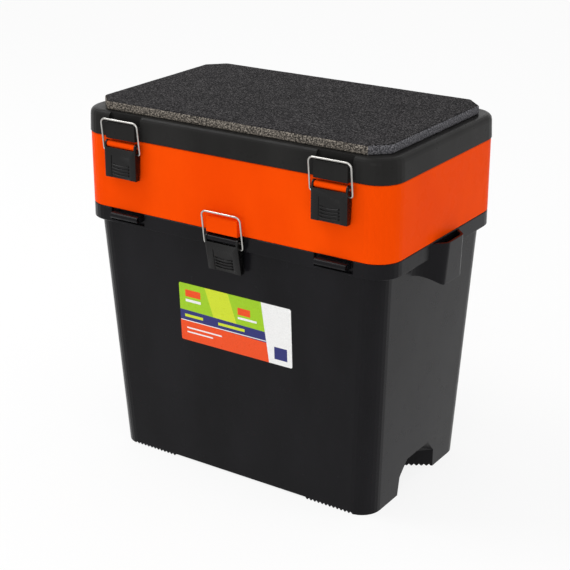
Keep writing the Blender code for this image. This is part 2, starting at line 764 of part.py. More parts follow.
def build_pad():
    """Foam seat pad with cut corners."""
    half_x = HALF_LENGTH - PAD_MARGIN_X
    half_y = HALF_DEPTH - PAD_MARGIN_Y
    outline = []
    for sign_x, sign_y in ((1, 1), (-1, 1), (-1, -1), (1, -1)):
        ends = [(sign_x * half_x, sign_y * (half_y - PAD_CORNER_CUT))]
        ends += [(sign_x * (half_x - PAD_CORNER_CUT), sign_y * half_y)]
        outline += ends if sign_x == sign_y else list(reversed(ends))
    pad = mesh_object("seat_pad", prism(outline, "Z", PAD_BOTTOM_Z, PAD_BOTTOM_Z + PAD_THICKNESS))
    return finish_body(pad, "grey_foam")


def cheek_outline():
    """Side view of the lever round its pin at the origin; -Y is out and -Z is down."""
    outline = [(-LEVER_FACE_OUT, -LEVER_LENGTH), (-LEVER_FACE_OUT, -LEVER_TOP_DROP)]
    outline += arc((0, 0), CHEEK_RADIUS, CHEEK_ARC_START, 0, ROUND_SIDES // 2)
    outline += [(LEVER_BACK_TOP, -BAIL_PIVOT_DROP - CHEEK_RADIUS), (LEVER_BACK_FOOT, -LEVER_LENGTH)]
    return outline


def grip_outline(foot_z):
    """Front view of one grip rib, which sags in the middle."""
    lower = []
    for step in range(GRIP_STEPS + 1):
        share = 2 * step / GRIP_STEPS - 1
        lower.append((GRIP_HALF * share, foot_z + GRIP_SAG * share * share))
    return lower + [(x, z + GRIP_HEIGHT) for x, z in reversed(lower)]


def build_lever(name, place, parting_z):
    """Latch lever: front plate with a grip, two cheeks with pin and bail holes."""
    cheek = cheek_outline()
    lever = mesh_object(name, block(
        (-CHEEK_OUTER, -LEVER_FACE_OUT, -LEVER_LENGTH),
        (CHEEK_OUTER, -LEVER_FACE_OUT + LEVER_PLATE, -LEVER_TOP_DROP),
    ))
    cheeks = bmesh.new()
    for side in (-1, 1):
        ends = sorted((side * CHEEK_INNER, side * CHEEK_OUTER))
        extrude_outline(cheeks, cheek, "X", ends[0], ends[1])
    holes = bmesh.new()
    extrude_outline(holes, circle((0, 0), HOLE_RADIUS), "X", -PIN_HALF, PIN_HALF)
    bail_center = (-BAIL_PIVOT_OUT, -BAIL_PIVOT_DROP)
    extrude_outline(holes, circle(bail_center, WIRE_RADIUS + GAP), "X", -PIN_HALF, PIN_HALF)
    panel_face = -LEVER_FACE_OUT + LEVER_PANEL_DEPTH
    panel = block(
        (-LEVER_PANEL_HALF, -LEVER_FACE_OUT - LEVER_PANEL_DEPTH, -LEVER_LENGTH - LEVER_PANEL_DEPTH),
        (LEVER_PANEL_HALF, panel_face, -LEVER_PANEL_DROP),
    )
    grips = bmesh.new()
    for index in range(GRIP_COUNT):
        foot_z = -LEVER_LENGTH + GRIP_FOOT + index * GRIP_PITCH
        root_y = panel_face + LEVER_PANEL_DEPTH
        extrude_outline(grips, grip_outline(foot_z), "Y", -LEVER_FACE_OUT, root_y)
    add(lever, tool(name + "_cheeks", cheeks))
    cut(lever, tool(name + "_panel", panel))
    add(lever, tool(name + "_grips", grips))
    cut(lever, tool(name + "_holes", holes))
    lever.location = (place, -(HALF_DEPTH + LATCH_PIN_OUT), parting_z - PIN_DROP)
    lever.rotation_euler = (lever_tilt(place), 0, 0)
    for operand in (name + "_cheeks", name + "_panel", name + "_grips", name + "_holes"):
        bpy.data.objects[operand].parent = lever
    return finish_body(lever, "black_plastic")


def bail_route():
    """Centre line of the bail in X and Z from its pivot at the origin, one half then the other."""
    end_x = CHEEK_INNER - BAIL_END_PAST_CHEEK
    foot = BAIL_FOOT_BEND
    top = BAIL_TOP_BEND
    half = [(end_x, 0.0)]
    half += arc((BAIL_HALF_WIDTH - foot, foot), foot, -90, 0, CORNER_STEPS // 2)
    half += arc((BAIL_HALF_WIDTH - top, BAIL_LENGTH - top), top, 0, 90, CORNER_STEPS // 2 + 1)
    return half + [(-x, z) for x, z in reversed(half)]


def build_bail(name, place, parting_z):
    """Wire bail, a bent rod that leans from the lever's cheeks to the keeper."""
    route = bail_route()
    curve = bpy.data.curves.new(name, "CURVE")
    curve.dimensions = "3D"
    curve.bevel_depth = WIRE_RADIUS
    curve.bevel_resolution = WIRE_RESOLUTION
    curve.use_fill_caps = True
    spline = curve.splines.new("POLY")
    spline.points.add(len(route) - 1)
    for point, (x, z) in zip(spline.points, route):
        point.co = (x, 0, z, 1)
    bail = bpy.data.objects.new(name, curve)
    bpy.context.collection.objects.link(bail)
    pivot_y, pivot_z = bail_pivot(place, parting_z)
    bail.location = (place, pivot_y, pivot_z)
    bail.rotation_euler = (bail_lean(place, parting_z), 0, 0)
    make_material(bail, "steel_wire")
    return bail


def build_latches():
    """Three latches: two hold the lid, the middle one holds the tray."""
    latches = (("left", -LATCH_X, TRAY_TOP_Z), ("right", LATCH_X, TRAY_TOP_Z), ("center", 0, RIM_TOP_Z))
    for side, place, parting_z in latches:
        build_lever(side + "_lever", place, parting_z)
        build_bail(side + "_bail", place, parting_z)
        pin_place = (place, -(HALF_DEPTH + LATCH_PIN_OUT), parting_z - PIN_DROP)
        rod(side + "_lever_pin", PIN_HALF, PIN_RADIUS, pin_place, "steel_wire")


def build_hinge_pins():
    """Steel pins of the rear hinges."""
    half = CHEEK_INNER + LUG_WALL
    for name, parting_z in (("lid_hinge_pin", TRAY_TOP_Z), ("tray_hinge_pin", RIM_TOP_Z)):
        for side, place in (("left", -HINGE_X), ("right", HINGE_X)):
            pin_place = (place, HALF_DEPTH + HINGE_OUT, parting_z - PIN_DROP)
            rod(name + "_" + side, half, PIN_RADIUS, pin_place, "steel_wire")


def main():
    clear_scene()
    build_tub()
    build_tray()
    build_lid()
    build_pad()
    build_latches()
    build_hinge_pins()


main()
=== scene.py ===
"""Looks of the fishing seat box: finishes, foam pad, label, latches and studio.

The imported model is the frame, and every piece made here rides on one of its bodies.
Metres, +Z up, the front with the latches faces -Y.
"""
import logging
import math
from collections.abc import Sequence
from dataclasses import dataclass
from enum import Enum

import bmesh
import bpy
from mathutils import Matrix, Vector, noise


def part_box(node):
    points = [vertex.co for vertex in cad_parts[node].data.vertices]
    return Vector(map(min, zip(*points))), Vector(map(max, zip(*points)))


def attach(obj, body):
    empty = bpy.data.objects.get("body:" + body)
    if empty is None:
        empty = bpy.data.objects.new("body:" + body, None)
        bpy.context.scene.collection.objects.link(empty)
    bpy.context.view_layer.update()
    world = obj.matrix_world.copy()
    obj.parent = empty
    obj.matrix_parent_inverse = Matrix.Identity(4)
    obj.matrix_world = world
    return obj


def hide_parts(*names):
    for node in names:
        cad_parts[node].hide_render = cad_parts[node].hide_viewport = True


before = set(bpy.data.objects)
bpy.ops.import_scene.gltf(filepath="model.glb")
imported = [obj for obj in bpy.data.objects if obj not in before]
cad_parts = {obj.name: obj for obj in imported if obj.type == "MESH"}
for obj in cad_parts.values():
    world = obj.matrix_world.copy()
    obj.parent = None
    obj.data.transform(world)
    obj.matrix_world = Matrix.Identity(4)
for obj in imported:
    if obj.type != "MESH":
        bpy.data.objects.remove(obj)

log = logging.getLogger("seat_box")

IMAGE_SIZE = 570
SENSOR_WIDTH = 36.0
TRAY_FLOOR_Z = 0.2954
MM_PER_M = 1000
SAME_HEIGHT = 1e-6
DIAGONAL = 0.7071
ROUND_ANGLE = math.radians(50)
CRISP_ANGLE = math.radians(30)
WIDE_NOISE = (0.3, 0.7)
MID_NOISE = (0.35, 0.65)
WHITE_LIGHT = (1.0, 1.0, 1.0, 1.0)

Colour = tuple[float, float, float]
Point = tuple[float, float, float]


# Node trees


class Tree:
    """Node tree with a short call that places and joins its nodes."""

    tree: bpy.types.NodeTree

    def node(self, kind: str, inputs: dict[str | int, object] | None = None, **settings: object) -> bpy.types.Node:
        """Add a node and set or join its inputs.

        Args:
            kind: Type name of the node.
            inputs: Values, or sockets to join, by the input's name or number.
            settings: Properties of the node.

        Returns:
            The new node.
        """
        made = self.tree.nodes.new(kind)
        for key, value in settings.items():
            setattr(made, key, value)
        for name, value in (inputs or {}).items():
            if isinstance(value, bpy.types.NodeSocket):
                self.tree.links.new(value, made.inputs[name])
            else:
                made.inputs[name].default_value = value
        return made


class Wiring(Tree):
    """Node tree of one material."""

    def __init__(self, name: str) -> None:
        """Start an empty material with its output node.

        Args:
            name: Name of the material.
        """
        self.material = bpy.data.materials.new(name)
        self.material.use_nodes = True
        self.tree = self.material.node_tree
        self.tree.nodes.clear()
        self.output = self.tree.nodes.new("ShaderNodeOutputMaterial")

    def place(self, stretch: Point = (1.0, 1.0, 1.0)) -> bpy.types.NodeSocket:
        """Object coordinates, stretched where a pattern runs one way.

        Args:
            stretch: Scale of the pattern along each axis.

        Returns:
            The vector socket.
        """
        where = self.node("ShaderNodeTexCoord").outputs["Object"]
        return self.node("ShaderNodeMapping", {"Vector": where, "Scale": stretch}).outputs["Vector"]

    def cloud(self, scale: float, detail: float = 2.0, stretch: Point = (1.0, 1.0, 1.0)) -> bpy.types.NodeSocket:
        """Soft noise from 0 to 1.

        Args:
            scale: Cells in one metre.
            detail: Octaves of finer noise.
            stretch: Scale of the pattern along each axis.

        Returns:
            The value socket.
        """
        inputs = {"Vector": self.place(stretch), "Scale": scale, "Detail": detail, "Roughness": 0.55}
        return self.node("ShaderNodeTexNoise", inputs).outputs["Fac"]

    def spread(self, value: bpy.types.NodeSocket, source: tuple[float, float], target: tuple[float, float]
               ) -> bpy.types.NodeSocket:
        """Map a value from one range to another, held at both ends.

        Args:
            value: Value to map.
            source: Its lowest and highest value.
            target: The range that it's mapped to.

        Returns:
            The mapped value's socket.
        """
        inputs = {"Value": value, "From Min": source[0], "From Max": source[1], "To Min": target[0],
                  "To Max": target[1]}
        return self.node("ShaderNodeMapRange", inputs).outputs["Result"]

    def tones(self, value: bpy.types.NodeSocket, stops: Sequence[tuple[float, Colour]]) -> bpy.types.NodeSocket:
        """Colour ramp.

        Args:
            value: Value that picks the colour.
            stops: Places on the ramp and their colours, in order.

        Returns:
            The colour socket.
        """
        ramp = self.node("ShaderNodeValToRGB", {"Fac": value})
        band = ramp.color_ramp
        while len(band.elements) < len(stops):
            band.elements.new(1.0)
        for element, (position, colour) in zip(band.elements, stops):
            element.position = position
            element.color = (*colour, 1.0)
        return ramp.outputs["Color"]

    def relief(self, height: bpy.types.NodeSocket, depth: float, under: bpy.types.NodeSocket | None = None
               ) -> bpy.types.NodeSocket:
        """Bump from a height, laid over another normal.

        Args:
            height: Height from 0 to 1.
            depth: Depth in metres that 1 stands for.
            under: Normal that the bump is laid over.

        Returns:
            The normal socket.
        """
        inputs: dict[str, object] = {"Height": height, "Distance": depth, "Strength": 1.0}
        if under is not None:
            inputs["Normal"] = under
        return self.node("ShaderNodeBump", inputs).outputs["Normal"]

    def finish(self, inputs: dict[str, object]) -> bpy.types.Material:
        """Close the tree with a Principled shader.

        Args:
            inputs: Values and sockets for the shader.

        Returns:
            The finished material.
        """
        shader = self.node("ShaderNodeBsdfPrincipled", inputs)
        self.tree.links.new(shader.outputs["BSDF"], self.output.inputs["Surface"])
        return self.material


class Recipe(Tree):
    """Geometry node tree that realises its instances and sets its material at the end."""

    def __init__(self, name: str, sizes: dict[str, float]) -> None:
        """Start a tree with one named input for each size.

        Args:
            name: Name of the tree.
            sizes: Named sizes that the tree reads.
        """
        self.tree = bpy.data.node_groups.new(name, "GeometryNodeTree")
        face = self.tree.interface
        face.new_socket("Geometry", in_out="INPUT", socket_type="NodeSocketGeometry")
        for size in sizes:
            face.new_socket(size, in_out="INPUT", socket_type="NodeSocketFloat")
        face.new_socket("Geometry", in_out="OUTPUT", socket_type="NodeSocketGeometry")
        self.sizes = sizes
        self.start = self.tree.nodes.new("NodeGroupInput")

    def size(self, name: str) -> bpy.types.NodeSocket:
        """Socket of a named size."""
        return self.start.outputs[name]

    def sweep(self, path: bpy.types.NodeSocket, radius: str, points: int) -> bpy.types.NodeSocket:
        """Run a round bar along a path.

        Args:
            path: Mesh socket of the path.
            radius: Name of the size that holds the bar's radius.
            points: Points round the bar.

        Returns:
            The bar's mesh socket.
        """
        line = self.node("GeometryNodeMeshToCurve", {"Mesh": path}).outputs["Curve"]
        ring = self.node("GeometryNodeCurvePrimitiveCircle", {"Resolution": points, "Radius": self.size(radius)})
        bar = self.node("GeometryNodeCurveToMesh", {"Curve": line, "Profile Curve": ring.outputs["Curve"],
                                                    "Fill Caps": True})
        return bar.outputs["Mesh"]

    def grow(self, name: str, base: bpy.types.Mesh, shape: bpy.types.NodeSocket, finish: bpy.types.Material
             ) -> bpy.types.Object:
        """Close the tree, run it on a base mesh and keep the result as a plain mesh.

        Args:
            name: Name of the piece.
            base: Mesh that the tree starts from.
            shape: Geometry socket that the tree ends in.
            finish: Material of the piece.

        Returns:
            The piece, with no modifier on it.
        """
        real = self.node("GeometryNodeRealizeInstances", {"Geometry": shape}).outputs["Geometry"]
        smooth = self.node("GeometryNodeSetShadeSmooth", {"Geometry": real}).outputs["Geometry"]
        dressed = self.node("GeometryNodeSetMaterial", {"Geometry": smooth, "Material": finish})
        end = self.tree.nodes.new("NodeGroupOutput")
        self.tree.links.new(dressed.outputs["Geometry"], end.inputs["Geometry"])
        seed = bpy.data.objects.new(name + "_base", base)
        bpy.context.scene.collection.objects.link(seed)
        modifier = seed.modifiers.new("recipe", "NODES")
        modifier.node_group = self.tree
        for item in self.tree.interface.items_tree:
            if item.in_out == "INPUT" and item.name in self.sizes:
                modifier[item.identifier] = self.sizes[item.name]
        piece = plain_copy(name, seed)
        seed.modifiers.clear()
        bpy.data.objects.remove(seed)
        return piece


# Mesh helpers


def plain_copy(name: str, source: bpy.types.Object) -> bpy.types.Object:
    """New object that holds another one's mesh with its modifiers applied.

    Args:
        name: Name of the new object.
        source: Object to evaluate.

    Returns:
        The new object at the origin.
    """
    graph = bpy.context.evaluated_depsgraph_get()
    mesh = bpy.data.meshes.new_from_object(source.evaluated_get(graph), depsgraph=graph)
    mesh.name = name
    piece = bpy.data.objects.new(name, mesh)
    bpy.context.scene.collection.objects.link(piece)
    return piece


def mesh_piece(name: str, shape: bmesh.types.BMesh, finishes: Sequence[bpy.types.Material]) -> bpy.types.Object:
    """Turn a bmesh into an object.

    Args:
        name: Name of the object.
        shape: The mesh data, freed afterwards.
        finishes: Materials for its slots.

    Returns:
        The new object.
    """
    mesh = bpy.data.meshes.new(name)
    shape.to_mesh(mesh)
    shape.free()
    for finish in finishes:
        mesh.materials.append(finish)
    piece = bpy.data.objects.new(name, mesh)
    bpy.context.scene.collection.objects.link(piece)
    return piece


def repaint(node: str, finish: bpy.types.Material) -> None:
    """Give a CAD node's object a finish, and leave its mesh as it is.

    Args:
        node: Name of the CAD node.
        finish: Material for each of its slots.
    """
    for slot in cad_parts[node].material_slots:
        slot.link = "OBJECT"
        slot.material = finish


def arc(centre: tuple[float, float], radius: float, start: float, end: float, steps: int
        ) -> list[tuple[float, float]]:
    """Points on an arc.

    Args:
        centre: Centre of the arc.
        radius: Its radius.
        start: First angle in degrees.
        end: Last angle in degrees.
        steps: Number of steps.

    Returns:
        The points, both ends included.
    """
    points = []
    for step in range(steps + 1):
        angle = math.radians(start + (end - start) * step / steps)
        points.append((centre[0] + radius * math.cos(angle), centre[1] + radius * math.sin(angle)))
    return points


# Finishes


@dataclass(frozen=True)
class MouldedPlastic:
    """Satin injection-moulded plastic: two close tones, fine grain, soft waves and rounded edges."""

    name: str
    dark: Colour
    pale: Colour
    gloss: tuple[float, float] = (0.30, 0.42)
    shine: float = 0.30
    tint: Colour = (1.0, 1.0, 1.0)
    grain_depth: float = 0.000006
    wave_depth: float = 0.00035
    edge_radius: float = 0.0006
    flow_scale: float = 16.0
    flow_stretch: Point = (1.0, 1.0, 0.45)
    gloss_scale: float = 60.0
    wave_scale: float = 11.0
    grain_scale: float = 1500.0

    def material(self) -> bpy.types.Material:
        """Build the material.

        Returns:
            The material.
        """
        tree = Wiring(self.name)
        flow = tree.cloud(self.flow_scale, 4.0, self.flow_stretch)
        colour = tree.tones(flow, ((0.35, self.dark), (0.68, self.pale)))
        rough = tree.spread(tree.cloud(self.gloss_scale, 5.0), MID_NOISE, self.gloss)
        edge = tree.node("ShaderNodeBevel", {"Radius": self.edge_radius}, samples=4).outputs["Normal"]
        wave = tree.relief(tree.cloud(self.wave_scale, 1.0), self.wave_depth, edge)
        grain = tree.relief(tree.cloud(self.grain_scale, 2.0), self.grain_depth, wave)
        return tree.finish({"Base Color": colour, "Roughness": rough, "Normal": grain,
                            "Specular IOR Level": self.shine, "Specular Tint": (*self.tint, 1.0)})


@dataclass(frozen=True)
class GranularFoam:
    """Closed-cell foam made of pressed granules, from dark to pale."""

    name: str
    tones: tuple[Colour, Colour, Colour, Colour]
    granule: float
    depth: float
    stops: tuple[float, float, float, float] = (0.37, 0.48, 0.55, 0.63)
    patch_scale: float = 30.0
    patch_shift: float = 0.015
    cell_share: float = 0.8
    roughness: float = 0.93
    shine: float = 0.10

    def material(self) -> bpy.types.Material:
        """Build the material.

        Returns:
            The material.
        """
        tree = Wiring(self.name)
        speck = tree.cloud(1.0 / self.granule, 3.0)
        patch = tree.spread(tree.cloud(self.patch_scale, 3.0), WIDE_NOISE, (-self.patch_shift, self.patch_shift))
        mixed = tree.node("ShaderNodeMath", {0: speck, 1: patch}, operation="ADD").outputs["Value"]
        colour = tree.tones(mixed, tuple(zip(self.stops, self.tones)))
        cells = tree.node("ShaderNodeTexVoronoi", {"Vector": tree.place(), "Scale": self.cell_share / self.granule})
        pits = tree.relief(cells.outputs["Distance"], self.depth)
        skin = tree.relief(speck, self.depth, pits)
        return tree.finish({"Base Color": colour, "Roughness": self.roughness, "Normal": skin,
                            "Specular IOR Level": self.shine})


@dataclass(frozen=True)
class DrawnSteel:
    """Bright drawn and plated wire."""

    name: str
    dark: Colour = (0.38, 0.37, 0.35)
    pale: Colour = (0.52, 0.51, 0.485)
    gloss: tuple[float, float] = (0.26, 0.32)
    gloss_scale: float = 300.0
    gloss_stretch: Point = (0.1, 1.0, 0.1)
    streak_scale: float = 700.0
    streak_stretch: Point = (0.08, 1.0, 0.08)
    streak_depth: float = 0.000002

    def material(self) -> bpy.types.Material:
        """Build the material.

        Returns:
            The material.
        """
        tree = Wiring(self.name)
        streak = tree.cloud(self.streak_scale, 2.0, self.streak_stretch)
        colour = tree.tones(streak, ((0.3, self.dark), (0.6, self.pale)))
        rough = tree.spread(tree.cloud(self.gloss_scale, 2.0, self.gloss_stretch), WIDE_NOISE, self.gloss)
        fine = tree.relief(streak, self.streak_depth)
        return tree.finish({"Base Color": colour, "Metallic": 1.0, "Roughness": rough, "Normal": fine})


@dataclass(frozen=True)
class PrintedFilm:
    """Glossy printed film in one ink, with the print's fine unevenness."""

    name: str
    ink: Colour
    thin_gain: float = 1.06
    thin_lift: float = 0.004
    full_gain: float = 0.94
    print_scale: float = 900.0
    gloss: tuple[float, float] = (0.26, 0.36)
    gloss_scale: float = 120.0
    ripple_scale: float = 45.0
    ripple_depth: float = 0.00006
    shine: float = 0.22
    coat: float = 0.06
    coat_roughness: float = 0.12

    def material(self) -> bpy.types.Material:
        """Build the material.

        Returns:
            The material.
        """
        tree = Wiring(self.name)
        thin = tuple(min(1.0, self.thin_gain * tone + self.thin_lift) for tone in self.ink)
        full = tuple(self.full_gain * tone for tone in self.ink)
        colour = tree.tones(tree.cloud(self.print_scale, 2.0), tuple(zip(WIDE_NOISE, (full, thin))))
        rough = tree.spread(tree.cloud(self.gloss_scale, 3.0), WIDE_NOISE, self.gloss)
        ripple = tree.relief(tree.cloud(self.ripple_scale, 1.0), self.ripple_depth)
        return tree.finish({"Base Color": colour, "Roughness": rough, "Normal": ripple,
                            "Specular IOR Level": self.shine, "Coat Weight": self.coat,
                            "Coat Roughness": self.coat_roughness})


BLACK_TUB = MouldedPlastic("black_plastic", (0.0052, 0.0049, 0.0058), (0.0084, 0.0080, 0.0096),
                           gloss=(0.18, 0.28), shine=0.10)
BLACK_LID = MouldedPlastic("black_lid_plastic", (0.0140, 0.0136, 0.0131), (0.0205, 0.0199, 0.0192),
                           gloss=(0.26, 0.36), shine=0.06, wave_depth=0.0002, edge_radius=0.0010)
BLACK_LEVER = MouldedPlastic("black_lever_plastic", (0.0040, 0.0038, 0.0038), (0.0064, 0.0060, 0.0060),
                             gloss=(0.20, 0.30), shine=0.22, wave_depth=0.00005, edge_radius=0.0002)
ORANGE = MouldedPlastic("orange_plastic", (0.86, 0.062, 0.0010), (0.92, 0.073, 0.0014),
                        gloss=(0.24, 0.36), shine=0.012, tint=(1.0, 0.50, 0.16), wave_depth=0.0003)
FOAM_TOP = GranularFoam("grey_foam_top", ((0.004, 0.004, 0.004), (0.012, 0.011, 0.012),
                                          (0.028, 0.026, 0.028), (0.090, 0.086, 0.086)), 0.0015, 0.00020)
FOAM_EDGE = GranularFoam("grey_foam_edge", ((0.022, 0.020, 0.017), (0.082, 0.073, 0.063),
                                            (0.172, 0.152, 0.130), (0.330, 0.295, 0.250)), 0.0016, 0.00030)
# The ends' foam is darker and greyer than the front edge's; part of that darkness is painted shade.
FOAM_END_PAINTED_SHADE = GranularFoam("grey_foam_end_painted_shade", ((0.038, 0.038, 0.042), (0.080, 0.079, 0.086),
                                          (0.130, 0.128, 0.138), (0.200, 0.197, 0.210)), 0.0016, 0.00022)
STEEL = DrawnSteel("steel_wire")


class Ink(Enum):
    """Inks of the label's plain panels."""

    WHITE = (0.84, 0.84, 0.83)
    LEAF = (0.330, 0.580, 0.008)
    LIME = (0.600, 0.700, 0.020)
    NAVY = (0.022, 0.026, 0.160)
    VERMILION = (0.830, 0.070, 0.004)


# Pieces


@dataclass
class SeatPad:
    """Foam seat pad with cut corners: a die-cut sheet with crumbly edges."""

    margin_cut: float = 0.019
    voxel: float = 0.0014
    edge_soft: float = 0.0016
    corner_soft: float = 0.0004
    edge_band: float = 0.006
    edge_drop: float = 0.0003
    skin_grain: float = 0.00010
    edge_grain: float = 0.00022
    spread_x: float = -0.0010
    spread_y: float = 0.0012
    rise: float = 0.0010
    band_limit: float = 0.80
    end_finish_band: float = 0.0018
    bevel_steps: int = 3
    foot_band: float = 0.001
    granule_scales: tuple[float, float] = (420.0, 900.0)
    fine_share: float = 0.6
    sag: float = 0.00015
    sag_scale: float = 22.0

    def build(self) -> bpy.types.Object:
        """Make the pad, dress it and let it stand for the CAD pad.

        Returns:
            The pad.
        """
        low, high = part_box("seat_pad")
        high = high + Vector((0.0, 0.0, self.rise))
        blank = self.blank(low, high)
        pad = plain_copy("foam_pad", blank)
        bpy.data.objects.remove(blank)
        self.roughen(pad, low, high)
        self.dress(pad, high)
        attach(pad, "lid_body")
        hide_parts("seat_pad")
        return pad

    def blank(self, low: Vector, high: Vector) -> bpy.types.Object:
        """Sheet with soft edges and an even, fine mesh.

        Args:
            low: Lowest corner of the pad.
            high: Highest corner of the pad.

        Returns:
            The sheet, with a live remesh on it.
        """
        shape = bmesh.new()
        half_x = high.x + self.spread_x
        half_y = high.y + self.spread_y
        cut = self.margin_cut
        outline = [
            (half_x, -half_y + cut), (half_x, half_y - cut), (half_x - cut, half_y), (-half_x + cut, half_y),
            (-half_x, half_y - cut), (-half_x, -half_y + cut), (-half_x + cut, -half_y), (half_x - cut, -half_y),
        ]
        foot = [shape.verts.new((x, y, low.z)) for x, y in outline]
        top = [shape.verts.new((x, y, high.z)) for x, y in outline]
        shape.faces.new(list(reversed(foot)))
        shape.faces.new(top)
        for index in range(len(outline)):
            after = (index + 1) % len(outline)
            shape.faces.new((foot[index], foot[after], top[after], top[index]))
        upright = [edge for edge in shape.edges if edge.verts[0].co.z != edge.verts[1].co.z]
        bmesh.ops.bevel(shape, geom=upright, offset=self.corner_soft, segments=self.bevel_steps, affect="EDGES",
                        profile=0.5)
        rim = [edge for edge in shape.edges if all(abs(vert.co.z - high.z) < SAME_HEIGHT for vert in edge.verts)]
        bmesh.ops.bevel(shape, geom=rim, offset=self.edge_soft, segments=self.bevel_steps, affect="EDGES",
                        profile=0.5)
        sheet = mesh_piece("foam_blank", shape, ())
        grid = sheet.modifiers.new("even_mesh", "REMESH")
        grid.mode = "VOXEL"
        grid.voxel_size = self.voxel
        return sheet

    def roughen(self, pad: bpy.types.Object, low: Vector, high: Vector) -> None:
        """Move the points of the skin and of the cut edge by the granules, and soften the rim.

        Args:
            pad: The pad.
            low: Lowest corner of the pad.
            high: Highest corner of the pad.
        """
        mesh = pad.data
        normals = [vert.normal.copy() for vert in mesh.vertices]
        for vert, normal in zip(mesh.vertices, normals):
            place = vert.co
            if normal.z < -0.5 and place.z < low.z + self.foot_band:
                vert.co.z = low.z
                continue
            side = 1.0 - max(0.0, min(1.0, (normal.z - 0.35) / 0.5))
            coarse, fine = (noise.noise(place * scale) for scale in self.granule_scales)
            reach = self.skin_grain + (self.edge_grain - self.skin_grain) * side
            vert.co += normal * reach * (coarse + self.fine_share * fine)
            away = min(high.x - abs(place.x), high.y - abs(place.y),
                       (high.x + high.y - self.margin_cut - abs(place.x) - abs(place.y)) * DIAGONAL)
            share = max(0.0, 1.0 - away / self.edge_band)
            if normal.z > 0.5:
                vert.co.z -= self.edge_drop * share * share
                wave = noise.noise(Vector((place.x, place.y, 0)) * self.sag_scale)
                vert.co.z += self.sag * wave - self.skin_grain
            vert.co.z = max(vert.co.z, low.z)

    def dress(self, pad: bpy.types.Object, high: Vector) -> None:
        """Give the skin and the cut edge their own finishes, and the ends a darker, greyer finish that is partly
        painted shade.

        Args:
            pad: The pad.
            high: Highest corner of the pad.
        """
        mesh = pad.data
        mesh.materials.clear()
        for foam in (FOAM_TOP, FOAM_EDGE, FOAM_END_PAINTED_SHADE):
            mesh.materials.append(foam.material())
        for face in mesh.polygons:
            if abs(face.normal.z) < self.band_limit and face.center.z < high.z:
                # Faces at the ends get the darker end foam, part of whose darkness is painted shade.
                at_end = face.center.x > high.x - self.margin_cut or face.center.x < self.end_finish_band - high.x
                face.material_index = 2 if at_end else 1
            face.use_smooth = True


